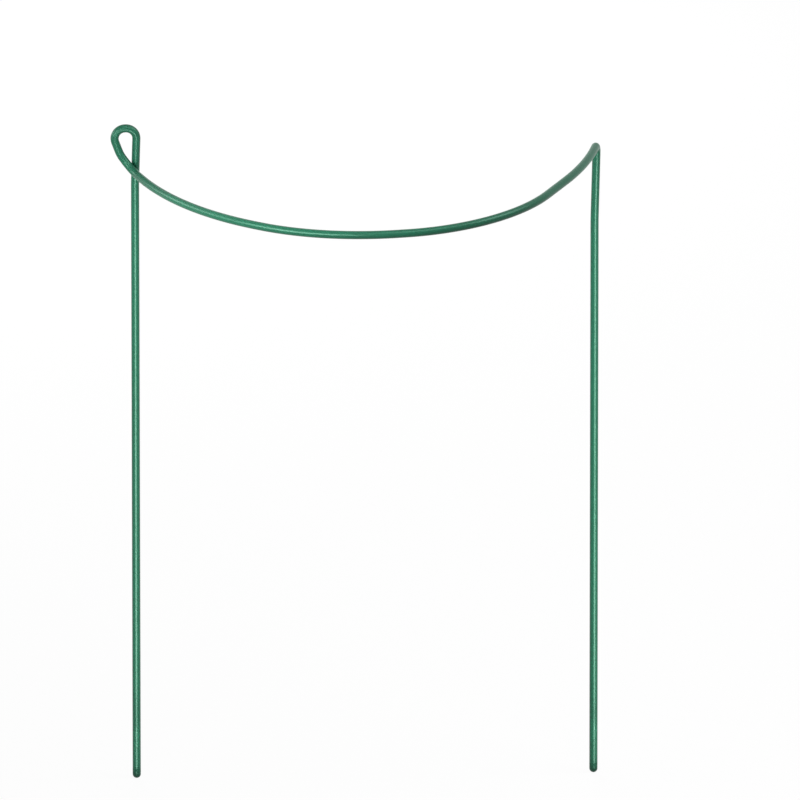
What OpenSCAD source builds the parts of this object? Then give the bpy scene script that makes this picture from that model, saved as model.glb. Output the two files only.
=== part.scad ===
// Half-round plant support: one plastic-coated steel wire, bent into two legs, an eye and a bow.
// X runs from the left leg to the right leg, the bow reaches out towards -Y, and the tips stand on Z = 0.

/* [Wire] */
// Diameter of the steel core
core_d = 3.6; // [2.4:0.1:4.6]
// Thickness of the plastic coat
coat_wall = 0.5; // [0.3:0.05:0.8]
// Room between the core and the coat, all round
core_clearance = 0.05; // [0.01:0.01:0.08]

/* [Tips] */
// Height of a rounded tip, up to the end of the coat
tip_h = 6; // [4:0.5:15]
// Plastic under the cut end of the core
tip_floor = 2; // [1.5:0.1:3]

/* [Legs] */
// Distance between the axes of the two legs
leg_spacing = 262; // [180:1:400]
// Height of the bend where the wire crosses in front of the left leg
cross_h = 370.5; // [200:0.5:700]
// Rise from the crossing to the corner of the right shoulder
shoulder_rise = 12; // [4:0.5:20]
// How far the right shoulder leans out past its leg
shoulder_out = 1.1; // [0.3:0.1:4]
// Radius of the right shoulder's bend
shoulder_bend_r = 5; // [4:0.5:15]
// Length of the right leg's leaning top
lean_length = 45.5; // [25:0.5:80]
// Radius of the slight bend below the leaning top
lean_bend_r = 100; // [50:10:300]

/* [Eye] */
// Rise from the crossing to the middle of the wire over the eye
eye_rise = 25; // [21:0.5:32]
// How far the eye's outer corner stands out from the leg
eye_out = 14.2; // [12:0.1:18]
// How far the eye's inner strand leans the other way
eye_lean = 1; // [0.3:0.1:3]
// Radius of the two bends over the eye
eye_bend_r = 6; // [4.5:0.1:6.2]
// How far below the crossing the inner strand starts to lean
foot_drop = 8; // [6:0.5:20]
// Radius of the slight bend at the foot of the inner strand
foot_bend_r = 30; // [15:1:60]
// Rise from the crossing to the eye's waist, where the outer strand turns in
waist_rise = 9.5; // [8:0.5:12]
// How far the waist stands out from the leg
waist_out = 8.5; // [7:0.1:11]
// Radius of the waist's bend
waist_bend_r = 16; // [8:1:20]
// How far the crossing's corner stands out from the leg
cross_out = 1.5; // [0.5:0.1:2.5]
// Radius of the bend from the eye into the bow
cross_bend_r = 13; // [9:0.5:15]
// Gap between the two strands where they cross
strand_gap = 0.2; // [0.1:0.1:2]

/* [Bow] */
// How far the bow reaches out in front of the legs
bow_depth = 129; // [90:1:200]
// How far the bow's left end lies below the crossing's corner
bow_dip = 2; // [0:0.5:6]
// Bend radius on the bow's left side
left_side_r = 195; // [120:5:240]
// Bend radius at the bow's front left
left_front_r = 125; // [80:5:140]
// Bend radius at the bow's front right
right_front_r = 93; // [60:1:105]
// Bend radius on the bow's right side
right_side_r = 200; // [120:5:205]

/* [Hidden] */
$fn = 48;

bore_d = core_d + 2 * core_clearance;
coat_d = bore_d + 2 * coat_wall;
tip_r = coat_d / 2;
leg_x = leg_spacing / 2;

// The outer strand comes forward by a coat's diameter at the crossing, less what its bend gives by itself
cross_round_share = 0.13;
waist_front_share = 0.3;
eye_front_share = 0.12;
cross_front = coat_d + strand_gap - cross_round_share * cross_bend_r;

// The bow lies in one plane that slopes from the right shoulder down to the crossing.
// Its corners are shares of half the leg spacing, from the middle, and of the bow's depth.
bow_corner_shares = [[-0.82, 0.52], [-0.22, 1], [0.57, 1], [0.955, 0.26]];
shoulder_h = cross_h + shoulder_rise;
bow_end_h = cross_h - bow_dip;
function bow_h(x) = bow_end_h + (shoulder_h - bow_end_h) * (x + leg_x) / leg_spacing;
function bow_corner(share) = [leg_x * share[0], -bow_depth * share[1], bow_h(leg_x * share[0])];

// The wire's middle line as a chain of corners, from the left leg's end to the right leg's end
function wire_path(end_h) = [
    [-leg_x, 0, end_h],
    [-leg_x, 0, cross_h - foot_drop],
    [-leg_x + eye_lean, 0, cross_h + eye_rise],
    [-leg_x - eye_out, -eye_front_share * cross_front, cross_h + eye_rise],
    [-leg_x - waist_out, -waist_front_share * cross_front, cross_h + waist_rise],
    [-leg_x - cross_out, -cross_front, cross_h],
    for (share = bow_corner_shares) bow_corner(share),
    [leg_x + shoulder_out, 0, shoulder_h],
    [leg_x, 0, shoulder_h - lean_length],
    [leg_x, 0, end_h]
];
coat_path = wire_path(tip_h);
core_path = wire_path(tip_floor);

// The bend radius at each corner, in the same order. The two ends have none.
bend_radii = [
    0, foot_bend_r, eye_bend_r, eye_bend_r, waist_bend_r, cross_bend_r,
    left_side_r, left_front_r, right_front_r, right_side_r, shoulder_bend_r, lean_bend_r, 0
];

// The corners' names, in the same order
CORNERS = [
    "left_end", "foot", "eye_inner", "eye_outer", "waist", "crossing",
    "left_side", "left_front", "right_front", "right_side", "shoulder", "lean", "right_end"
];

// The wire's pieces are counted in order: run 0, bend 1, run 1, bend 2 and so on.
// A run is named by the corner before it, and a bend by its own corner.
function corner(name) = [for (i = [0 : len(CORNERS) - 1]) if (CORNERS[i] == name) i][0];
function run(name) = 2 * corner(name);
function bend(name) = 2 * corner(name) - 1;

// A bend is wider than the straight wire by half the core's clearance all round, so a run ends inside it.
// The core's bends still pass through the coat.
bend_swell = core_clearance / 2;
// How far a run reaches into the bends at its ends
bend_lap = 0.1;
// The shortest run that is left between two bends
least_run = 0.2;

function unit(v) = v / norm(v);
function edge_length(path, i) = norm(path[i + 1] - path[i]);
function heading(path, i) = unit(path[i + 1] - path[i]);
function turn(path, i) = acos(heading(path, i - 1) * heading(path, i));
function is_end(path, i) = i == 0 || i == len(path) - 1;

// How far a bend takes up the runs on both sides of its corner, limited by the room that its neighbours leave
function full_reach(path, i) = is_end(path, i) ? 0 : bend_radii[i] * tan(turn(path, i) / 2);
function room_share(path, i) =
    (edge_length(path, i) - least_run) / (full_reach(path, i) + full_reach(path, i + 1));
function reach(path, i) =
    is_end(path, i) ? 0 : full_reach(path, i) * min(1, room_share(path, i - 1), room_share(path, i));
function run_length(path, i) = edge_length(path, i) - reach(path, i) - reach(path, i + 1);
function bend_r(path, i) = reach(path, i) / tan(turn(path, i) / 2);

// The way to the middle of bend i, square to the run before it
function inward(path, i) =
    unit(heading(path, i) - cos(turn(path, i)) * heading(path, i - 1));
// The side direction that is carried along the wire, just after bend i
function side(path, i) =
    i == 0 ? [1, 0, 0] : cos(turn(path, i)) * inward(path, i) - sin(turn(path, i)) * heading(path, i - 1);
// How far the wire is rolled about itself before bend i
function roll(path, i) = atan2(
    cross(side(path, i - 1), inward(path, i)) * heading(path, i - 1),
    side(path, i - 1) * inward(path, i)
);

// Draws the wire from its first piece to its last.
// Z always points along the wire, and each piece starts where the one before it ends.
module wire(path, d, first, last, piece = 0) {
    if (piece % 2 == 0) {
        h = run_length(path, piece / 2);
        low = piece > first ? bend_lap : 0;
        high = piece < last ? bend_lap : 0;
        if (piece >= first) translate([0, 0, -low]) cylinder(d = d, h = low + h + high);
        if (piece < last) translate([0, 0, h]) wire(path, d, first, last, piece + 1);
    } else {
        i = (piece + 1) / 2;
        r = bend_r(path, i);
        angle = turn(path, i);
        rotate(roll(path, i)) translate([r, 0, 0]) {
            if (piece >= first) rotate([90, 0, 180])
                rotate_extrude(angle = angle) translate([r, 0]) circle(d = d + 2 * bend_swell);
            if (piece < last)
                rotate([0, angle, 0]) translate([-r, 0, 0]) wire(path, d, first, last, piece + 1);
        }
    }
}

module coat(first, last) {
    color("#3d8a6c") translate(coat_path[0]) difference() {
        wire(coat_path, coat_d, first, last);
        wire(coat_path, bore_d, first, last);
    }
}

module left_leg_coat() {
    coat(run("left_end"), run("left_end"));
}

module eye_coat() {
    coat(bend("foot"), bend("crossing"));
}

module bow_coat() {
    coat(run("crossing"), run("right_side"));
}

module shoulder_coat() {
    coat(bend("shoulder"), bend("lean"));
}

module right_leg_coat() {
    coat(run("lean"), run("lean"));
}

// The drawn steel wire that runs through the whole coat, from tip to tip
module steel_core() {
    color("#8f9396") translate(core_path[0]) wire(core_path, core_d, run("left_end"), run("lean"));
}

// A rounded cup that closes the coat and holds the cut end of the core
module tip(x) {
    color("#33785e") translate([x, 0, 0]) rotate_extrude() difference() {
        union() {
            intersection() {
                translate([0, tip_r]) circle(r = tip_r);
                square(tip_r);
            }
            translate([0, tip_r]) square([tip_r, tip_h - tip_r]);
        }
        translate([0, tip_floor]) square([bore_d / 2, tip_h]);
    }
}

module left_tip() {
    tip(-leg_x);
}

module right_tip() {
    tip(leg_x);
}

left_leg_coat();
eye_coat();
bow_coat();
shoulder_coat();
right_leg_coat();
steel_core();
left_tip();
right_tip();
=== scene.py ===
import math

import bmesh
import bpy
from mathutils import Matrix, Vector


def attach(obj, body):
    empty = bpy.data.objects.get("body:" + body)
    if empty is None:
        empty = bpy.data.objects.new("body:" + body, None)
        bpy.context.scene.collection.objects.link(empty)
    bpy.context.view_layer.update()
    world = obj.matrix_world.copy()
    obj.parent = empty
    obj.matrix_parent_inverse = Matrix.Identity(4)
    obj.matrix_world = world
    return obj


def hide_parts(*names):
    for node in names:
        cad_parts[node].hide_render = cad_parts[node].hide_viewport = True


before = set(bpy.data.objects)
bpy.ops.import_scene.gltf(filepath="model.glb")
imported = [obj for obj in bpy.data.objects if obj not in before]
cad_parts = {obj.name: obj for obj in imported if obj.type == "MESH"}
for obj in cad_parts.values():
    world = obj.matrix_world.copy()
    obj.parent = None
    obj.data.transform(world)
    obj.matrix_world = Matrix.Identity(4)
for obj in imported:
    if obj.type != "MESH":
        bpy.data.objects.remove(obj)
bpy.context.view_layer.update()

mm = 0.001


# Steel core
# The wire that gives the support its spring: round mild steel, drawn through a die and then bent cold.
# It runs from tip to tip inside the coat, so it shows only where the coat is cut away.

def linear(hex_colour):
    """The linear colour of an sRGB hex value."""
    channels = [int(hex_colour[i:i + 2], 16) / 255 for i in (1, 3, 5)]
    return [c / 12.92 if c <= 0.04045 else ((c + 0.055) / 1.055) ** 2.4 for c in channels] + [1]


def add(tree, kind, inputs=None, **settings):
    """Add a node with its settings. An input is set to a value, or linked to another node's socket."""
    node = tree.nodes.new(kind)
    for name, value in settings.items():
        setattr(node, name, value)
    for name, value in (inputs or {}).items():
        if isinstance(value, bpy.types.NodeSocket):
            tree.links.new(value, node.inputs[name])
        else:
            node.inputs[name].default_value = value
    return node


def new_material(name):
    """An empty material, and its node tree with the Principled shader that the look is built on."""
    material = bpy.data.materials.new(name)
    material.use_nodes = True
    return material, material.node_tree, material.node_tree.nodes["Principled BSDF"]


# Bright drawn steel: a grey metal under a thin film of drawing soap, which dulls it in small patches.
steel_dark = "#6f7376"
steel_bright = "#a3a7a9"
soap_patch = 4 * mm
steel_roughness = (0.28, 0.48)

drawn_steel, tree, shader = new_material("drawn_mild_steel")
place = add(tree, "ShaderNodeTexCoord").outputs["Object"]
soap = add(tree, "ShaderNodeTexNoise", {"Vector": place, "Scale": 1 / soap_patch, "Detail": 5})
colour = add(tree, "ShaderNodeMix", {"Factor": soap.outputs["Fac"]}, data_type="RGBA")
colour.inputs["A"].default_value = linear(steel_dark)
colour.inputs["B"].default_value = linear(steel_bright)
gloss = add(tree, "ShaderNodeMapRange", {"Value": soap.outputs["Fac"]})
gloss.inputs["To Min"].default_value = steel_roughness[0]
gloss.inputs["To Max"].default_value = steel_roughness[1]
tree.links.new(colour.outputs["Result"], shader.inputs["Base Color"])
tree.links.new(gloss.outputs["Result"], shader.inputs["Roughness"])
shader.inputs["Metallic"].default_value = 1

steel_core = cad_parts["steel_core"]
steel_core.data.materials.clear()
steel_core.data.materials.append(drawn_steel)


# Green coat
# One unbroken sleeve of satin green polyethylene, extruded onto the straight wire before it is bent.
# Its middle line is the wire's own chain of corners, each rounded by the radius of its bend.

coat_d = 4.7 * mm
bore_d = 3.7 * mm
tip_h = 6 * mm
leg_x = 131 * mm
cross_h = 370.5 * mm

# The right shoulder, and the slight lean of the leg below it
shoulder_rise = 12 * mm
shoulder_h = cross_h + shoulder_rise
shoulder_out = 1.1 * mm
shoulder_bend_r = 5 * mm
lean_length = 45.5 * mm
lean_bend_r = 100 * mm

# The teardrop eye at the left, whose outer strand comes forward and crosses in front of the leg
eye_rise = 25 * mm
eye_out = 14.2 * mm
eye_lean = 1 * mm
eye_bend_r = 6 * mm
foot_drop = 8 * mm
foot_bend_r = 30 * mm
waist_rise = 9.5 * mm
waist_out = 8.5 * mm
waist_bend_r = 16 * mm
cross_out = 1.5 * mm
cross_bend_r = 13 * mm
strand_gap = 0.2 * mm
cross_round_share = 0.13
eye_front_share = 0.12
waist_front_share = 0.3
cross_front = coat_d + strand_gap - cross_round_share * cross_bend_r

# The bow, in a plane that falls from the right shoulder to the crossing. Its corners, from left to
# right, are shares of half the leg spacing and of the bow's depth, each with the radius of its bend.
bow_depth = 129 * mm
bow_dip = 2 * mm
bow_end_h = cross_h - bow_dip
left_side_r = 195 * mm
left_front_r = 125 * mm
right_front_r = 93 * mm
right_side_r = 200 * mm
bow_bends = [
    ((-0.82, 0.52), left_side_r),
    ((-0.22, 1), left_front_r),
    ((0.57, 1), right_front_r),
    ((0.955, 0.26), right_side_r),
]


def bow_corner(across_share, depth_share):
    """The place of one of the bow's corners."""
    x = leg_x * across_share
    z = bow_end_h + (shoulder_h - bow_end_h) * (x + leg_x) / (2 * leg_x)
    return (x, -bow_depth * depth_share, z)


# Each corner of the wire with the radius of its bend, from the left tip to the right tip
wire_corners = [
    ((-leg_x, 0, tip_h), 0),
    ((-leg_x, 0, cross_h - foot_drop), foot_bend_r),
    ((-leg_x + eye_lean, 0, cross_h + eye_rise), eye_bend_r),
    ((-leg_x - eye_out, -eye_front_share * cross_front, cross_h + eye_rise), eye_bend_r),
    ((-leg_x - waist_out, -waist_front_share * cross_front, cross_h + waist_rise), waist_bend_r),
    ((-leg_x - cross_out, -cross_front, cross_h), cross_bend_r),
    *((bow_corner(*shares), radius) for shares, radius in bow_bends),
    ((leg_x + shoulder_out, 0, shoulder_h), shoulder_bend_r),
    ((leg_x, 0, shoulder_h - lean_length), lean_bend_r),
    ((leg_x, 0, tip_h), 0),
]

# Satin polyethylene: deep green and slightly waxy, so a lamp spreads into a soft pale band on the wire.
# The patterns lie on the straight wire as it left the die. Die lines are drawn twice as coarse
# as they are, because real ones are too fine to show.
coat_green = "#185f46"
coat_shade = "#16553e"
plastic_ior = 1.51
gloss_tint = "#c0ffe4"
gloss_level = 0.5
coat_roughness = (0.3, 0.36)
pigment_patch = 9 * mm
die_line = 0.5 * mm
die_line_length = 60 * mm
die_line_depth = 0.012 * mm


def green_plastic(name, place_node):
    """Satin green plastic with die lines along the wire, on the coordinates that a node gives."""
    material, tree, shader = new_material(name)
    kind, output, settings = place_node
    place = add(tree, kind, **settings).outputs[output]
    pigment = add(tree, "ShaderNodeTexNoise", {"Vector": place, "Scale": 1 / pigment_patch, "Detail": 3})
    colour = add(tree, "ShaderNodeMix", {"Factor": pigment.outputs["Fac"]}, data_type="RGBA")
    colour.inputs["A"].default_value = linear(coat_shade)
    colour.inputs["B"].default_value = linear(coat_green)
    stretch = (1, 1, die_line / die_line_length)
    drawn_out = add(tree, "ShaderNodeMapping", {"Vector": place, "Scale": stretch}).outputs[0]
    lines = add(tree, "ShaderNodeTexNoise", {"Vector": drawn_out, "Scale": 1 / die_line, "Detail": 2})
    gloss = add(tree, "ShaderNodeMapRange", {"Value": lines.outputs["Fac"]})
    gloss.inputs["To Min"].default_value = coat_roughness[0]
    gloss.inputs["To Max"].default_value = coat_roughness[1]
    relief = add(tree, "ShaderNodeBump", {"Height": lines.outputs["Fac"], "Distance": die_line_depth})
    tree.links.new(colour.outputs["Result"], shader.inputs["Base Color"])
    tree.links.new(gloss.outputs["Result"], shader.inputs["Roughness"])
    tree.links.new(relief.outputs["Normal"], shader.inputs["Normal"])
    shader.inputs["IOR"].default_value = plastic_ior
    shader.inputs["Specular IOR Level"].default_value = gloss_level
    shader.inputs["Specular Tint"].default_value = linear(gloss_tint)
    return material


extruded_plastic = green_plastic(
    "extruded_green_polyethylene", ("ShaderNodeAttribute", "Vector", {"attribute_name": "straight_wire"})
)


def coat_tree():
    """Rounds the chain of corners and sweeps the coat's two walls along it. Each point's place on the
    straight wire is noted too: across it from the middle, and along it in Z."""
    tree = bpy.data.node_groups.new("coat_on_wire", "GeometryNodeTree")
    face = tree.interface
    face.new_socket("Chain", in_out="INPUT", socket_type="NodeSocketGeometry")
    for name in ("Coat Diameter", "Bore Diameter", "Ring Spacing"):
        face.new_socket(name, in_out="INPUT", socket_type="NodeSocketFloat")
    for name in ("Bend Points", "Sides"):
        face.new_socket(name, in_out="INPUT", socket_type="NodeSocketInt")
    face.new_socket("Plastic", in_out="INPUT", socket_type="NodeSocketMaterial")
    face.new_socket("Coat", in_out="OUTPUT", socket_type="NodeSocketGeometry")
    given = add(tree, "NodeGroupInput").outputs

    bend_r = add(tree, "GeometryNodeInputNamedAttribute", {"Name": "bend_r"}, data_type="FLOAT")
    chain = add(tree, "GeometryNodeMeshToCurve", {"Mesh": given["Chain"]})
    bent = add(tree, "GeometryNodeFilletCurve", {"Curve": chain.outputs[0]}, mode="POLY")
    tree.links.new(bend_r.outputs[0], bent.inputs["Radius"])
    tree.links.new(given["Bend Points"], bent.inputs["Count"])

    rings = add(tree, "GeometryNodeResampleCurve", {"Curve": bent.outputs[0]}, mode="LENGTH")
    tree.links.new(given["Ring Spacing"], rings.inputs["Length"])
    length = add(tree, "GeometryNodeSplineParameter").outputs["Length"]
    along = add(tree, "ShaderNodeCombineXYZ", {"Z": length}).outputs[0]
    rings = add(
        tree, "GeometryNodeStoreNamedAttribute",
        {"Geometry": rings.outputs[0], "Name": "along_wire", "Value": along},
        data_type="FLOAT_VECTOR",
    )

    walls = []
    for name, path in (("Coat Diameter", rings.outputs[0]), ("Bore Diameter", bent.outputs[0])):
        radius = add(tree, "ShaderNodeMath", {0: given[name], 1: 0.5}, operation="MULTIPLY").outputs[0]
        round_wall = add(tree, "GeometryNodeCurvePrimitiveCircle", {"Radius": radius})
        tree.links.new(given["Sides"], round_wall.inputs["Resolution"])
        across = add(tree, "GeometryNodeInputPosition").outputs[0]
        profile = add(
            tree, "GeometryNodeStoreNamedAttribute",
            {"Geometry": round_wall.outputs[0], "Name": "across_wire", "Value": across},
            data_type="FLOAT_VECTOR",
        ).outputs[0]
        walls.append(add(tree, "GeometryNodeCurveToMesh", {"Curve": path, "Profile Curve": profile}))

    both = add(tree, "GeometryNodeJoinGeometry")
    for wall in walls:
        tree.links.new(wall.outputs[0], both.inputs[0])
    places = [
        add(tree, "GeometryNodeInputNamedAttribute", {"Name": name}, data_type="FLOAT_VECTOR").outputs[0]
        for name in ("across_wire", "along_wire")
    ]
    straight = add(tree, "ShaderNodeVectorMath", {0: places[0], 1: places[1]}, operation="ADD").outputs[0]
    noted = add(
        tree, "GeometryNodeStoreNamedAttribute",
        {"Geometry": both.outputs[0], "Name": "straight_wire", "Value": straight},
        data_type="FLOAT_VECTOR",
    )
    plain = add(tree, "GeometryNodeRealizeInstances", {"Geometry": noted.outputs[0]}).outputs[0]
    coated = add(tree, "GeometryNodeSetMaterial", {"Geometry": plain, "Material": given["Plastic"]})
    add(tree, "NodeGroupOutput", {0: coated.outputs[0]})
    return tree


def plain_mesh(piece):
    """Turns a piece's Geometry Nodes result into its own plain mesh, and removes the modifier."""
    bpy.context.view_layer.update()
    evaluated = piece.evaluated_get(bpy.context.evaluated_depsgraph_get())
    result = bpy.data.meshes.new_from_object(evaluated)
    piece.modifiers.clear()
    piece.data = result
    piece.data.name = piece.name


def new_piece(name, mesh):
    """An object at the origin that holds a mesh."""
    piece = bpy.data.objects.new(name, mesh)
    bpy.context.scene.collection.objects.link(piece)
    return piece


# How finely the coat is drawn. Edges that turn by more than the crease stay crisp.
ring_spacing = 0.8 * mm
bend_points = 32
coat_sides = 40
crease = math.radians(50)

chain_mesh = bpy.data.meshes.new("wire_corners")
chain_edges = [(i, i + 1) for i in range(len(wire_corners) - 1)]
chain_mesh.from_pydata([place for place, radius in wire_corners], chain_edges, [])
chain_mesh.attributes.new("bend_r", "FLOAT", "POINT").data.foreach_set(
    "value", [radius for place, radius in wire_corners]
)
coat = new_piece("coat", chain_mesh)
coat_inputs = {
    "Coat Diameter": coat_d, "Bore Diameter": bore_d, "Ring Spacing": ring_spacing,
    "Bend Points": bend_points, "Sides": coat_sides, "Plastic": extruded_plastic,
}
coating = coat.modifiers.new("coating", "NODES")
coating.node_group = coat_tree()
for socket in coating.node_group.interface.items_tree:
    if socket.name in coat_inputs:
        coating[socket.identifier] = coat_inputs[socket.name]
plain_mesh(coat)

# The two walls meet in a flat ring at each end, which sits on the tip
mesh = bmesh.new()
mesh.from_mesh(coat.data)
rims = [edge for edge in mesh.edges if edge.is_boundary]
for side in (-1, 1):
    bmesh.ops.bridge_loops(mesh, edges=[edge for edge in rims if edge.verts[0].co.x * side > 0])
bmesh.ops.recalc_face_normals(mesh, faces=mesh.faces)
for wall_face in mesh.faces:
    wall_face.smooth = True
mesh.to_mesh(coat.data)
mesh.free()
coat.data.set_sharp_from_angle(angle=crease)

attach(coat, "root")
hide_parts("left_leg_coat", "eye_coat", "bow_coat", "shoulder_coat", "right_leg_coat")


# Rounded tips
# A small moulded cup closes each end of the coat, so that the cut steel neither rusts nor scratches.
# Each is a dome with a short skirt round the core's end, welded to the coat, in the same green plastic.

tip_r = coat_d / 2
tip_floor = 2 * mm
tip_edge = 0.12 * mm
dome_steps = 16
tip_turns = 64
seam_weld = 0.001 * mm

moulded_plastic = green_plastic("moulded_green_polyethylene", ("ShaderNodeTexCoord", "Object", {}))


def tip_cup(name, x):
    """A domed cup, turned from its half section about the leg's axis."""
    dome = [math.pi / 2 * step / dome_steps for step in range(dome_steps + 1)]
    section = [(tip_r * math.sin(turn), tip_r - tip_r * math.cos(turn)) for turn in dome]
    section += [(tip_r, tip_h - tip_edge), (tip_r - tip_edge, tip_h)]
    section += [(bore_d / 2, tip_h), (bore_d / 2, tip_floor), (0, tip_floor)]
    mesh = bmesh.new()
    points = [mesh.verts.new((x + r, 0, z)) for r, z in section]
    edges = [mesh.edges.new(pair) for pair in zip(points, points[1:])]
    bmesh.ops.spin(
        mesh, geom=points + edges, cent=(x, 0, 0), axis=(0, 0, 1), angle=2 * math.pi, steps=tip_turns
    )
    bmesh.ops.remove_doubles(mesh, verts=mesh.verts, dist=seam_weld)
    bmesh.ops.recalc_face_normals(mesh, faces=mesh.faces)
    for cup_face in mesh.faces:
        cup_face.smooth = True
    cup = new_piece(name, bpy.data.meshes.new(name))
    mesh.to_mesh(cup.data)
    mesh.free()
    cup.data.set_sharp_from_angle(angle=crease)
    cup.data.materials.append(moulded_plastic)
    return cup


for side, x in (("left", -leg_x), ("right", leg_x)):
    cup = tip_cup(f"{side}_tip_cup", x)
    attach(cup, "root")
    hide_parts(f"{side}_tip")


# Floor and surroundings
# A plain white paper floor in a white studio. The paper gives back little of the lamps' light,
# and glows just enough to show white, with the support's soft shadow on it.

floor_size = 12
white = "#ffffff"
paper_grey = "#4a4a4a"
paper_glow = 0.95
room_light = 0.03


def seen_directly(tree):
    """One where a ray comes from the camera, or from a mirror or glass that shows the surroundings."""
    path = add(tree, "ShaderNodeLightPath").outputs
    seen = path["Is Camera Ray"]
    for other in ("Is Glossy Ray", "Is Transmission Ray"):
        seen = add(tree, "ShaderNodeMath", {0: seen, 1: path[other]}, operation="MAXIMUM").outputs[0]
    return seen


paper, tree, shader = new_material("white_paper")
glow = add(tree, "ShaderNodeMath", {0: seen_directly(tree), 1: paper_glow}, operation="MULTIPLY")
tree.links.new(glow.outputs[0], shader.inputs["Emission Strength"])
shader.inputs["Emission Color"].default_value = linear(white)
shader.inputs["Base Color"].default_value = linear(paper_grey)
shader.inputs["Roughness"].default_value = 1
shader.inputs["Specular IOR Level"].default_value = 0

half_floor = floor_size / 2
floor_mesh = bpy.data.meshes.new("paper_floor")
floor_corners = [(-half_floor, -half_floor, 0), (half_floor, -half_floor, 0)]
floor_corners += [(half_floor, half_floor, 0), (-half_floor, half_floor, 0)]
floor_mesh.from_pydata(floor_corners, [], [(0, 1, 2, 3)])
floor_mesh.materials.append(paper)
new_piece("paper_floor", floor_mesh)

world = bpy.data.worlds.new("white_studio")
world.use_nodes = True
bpy.context.scene.world = world
tree = world.node_tree
strength = add(tree, "ShaderNodeMapRange", {"Value": seen_directly(tree), "To Min": room_light})
backdrop = tree.nodes["Background"]
backdrop.inputs["Color"].default_value = linear(white)
tree.links.new(strength.outputs["Result"], backdrop.inputs["Strength"])


# Lamps
# A low strip faces each leg, with a small one at its foot, and they draw the pale band down it.
# Four small lamps draw the bow's band. Two soft lamps, high in front and on the right, light the rest.
# One behind lights the back, and the plastic doesn't mirror it.

strip_height = 206 * mm
foot_height = 19 * mm
strip_elevation = -20
strip_spread = 50
support_middle = (0, 0, 190 * mm)
bow_front_left = (-55 * mm, -110 * mm, 375 * mm)
studio_distance = 1.4
open_spread = 180


def soft_lamp(name, aim, azimuth, elevation, distance, width, height, spread, glow):
    """A lamp that faces a point of the support. Azimuth is from the front towards the right, in degrees,
    and the grid lets light out within the spread."""
    turn = math.radians(azimuth)
    rise = math.radians(elevation)
    way = Vector((math.sin(turn) * math.cos(rise), -math.cos(turn) * math.cos(rise), math.sin(rise)))
    light = bpy.data.lights.new(name, "AREA")
    light.shape = "RECTANGLE"
    light.size = width
    light.size_y = height
    light.spread = math.radians(spread)
    light.energy = glow * math.pi * width * height
    lamp = bpy.data.objects.new(name, light)
    facing = way.to_track_quat("Z", "Y").to_matrix().to_4x4()
    lamp.matrix_world = Matrix.Translation(Vector(aim) + way * distance) @ facing
    lamp.visible_camera = False
    bpy.context.scene.collection.objects.link(lamp)
    return lamp


for side, x, azimuth in (("left", -leg_x, -1), ("right", leg_x, 21)):
    soft_lamp(
        f"{side}_leg_strip", aim=(x, 0, strip_height), azimuth=azimuth, elevation=strip_elevation,
        distance=0.15, width=0.09, height=0.34, spread=strip_spread, glow=1.25,
    )
    soft_lamp(
        f"{side}_foot_strip", aim=(x, 0, foot_height), azimuth=azimuth, elevation=strip_elevation,
        distance=0.02, width=0.013, height=0.024, spread=strip_spread, glow=0.9,
    )
for number, azimuth, glow in ((1, -32, 1.7), (2, -62, 1.7), (3, -88, 0.2), (4, -110, 0.6)):
    soft_lamp(
        f"bow_lamp_{number}", aim=bow_front_left, azimuth=azimuth, elevation=14, distance=0.35,
        width=0.18, height=0.14, spread=60, glow=glow,
    )
soft_lamp(
    "front_lamp", aim=support_middle, azimuth=12, elevation=62, distance=studio_distance,
    width=0.6, height=0.6, spread=open_spread, glow=3.4,
)
soft_lamp(
    "right_lamp", aim=support_middle, azimuth=75, elevation=50, distance=studio_distance,
    width=0.7, height=0.7, spread=open_spread, glow=4.4,
)
back_lamp = soft_lamp(
    "back_lamp", aim=support_middle, azimuth=-170, elevation=15, distance=studio_distance,
    width=0.9, height=0.7, spread=open_spread, glow=4,
)
back_lamp.visible_glossy = False


# Camera
# A long lens, nearly as flat as the photograph, above the bow and slightly to the left.
# The view's middle is given across, up and towards the camera from the point between the tips.

camera_rise = math.radians(20.17)
camera_turn = math.radians(2.02)
view_width = 457.2 * mm
view_across = 20 * mm
view_up = 214.9 * mm
view_depth = 65 * mm
lens = 1500
sensor = 36

across = Vector((math.cos(camera_turn), -math.sin(camera_turn), 0))
towards = Vector((
    -math.sin(camera_turn) * math.cos(camera_rise),
    -math.cos(camera_turn) * math.cos(camera_rise),
    math.sin(camera_rise),
))
up = towards.cross(across)
distance = view_width * lens / sensor

camera = bpy.data.objects.new("camera", bpy.data.cameras.new("camera"))
camera.data.lens = lens
camera.data.sensor_width = sensor
camera.data.clip_start = 1
camera.data.clip_end = 2 * distance
turned = Matrix((across, up, towards)).transposed().to_4x4()
camera.matrix_world = Matrix.Translation(
    across * view_across + up * view_up + towards * (view_depth + distance)
) @ turned
bpy.context.scene.collection.objects.link(camera)
bpy.context.scene.camera = camera
bpy.context.scene.view_settings.view_transform = "Standard"
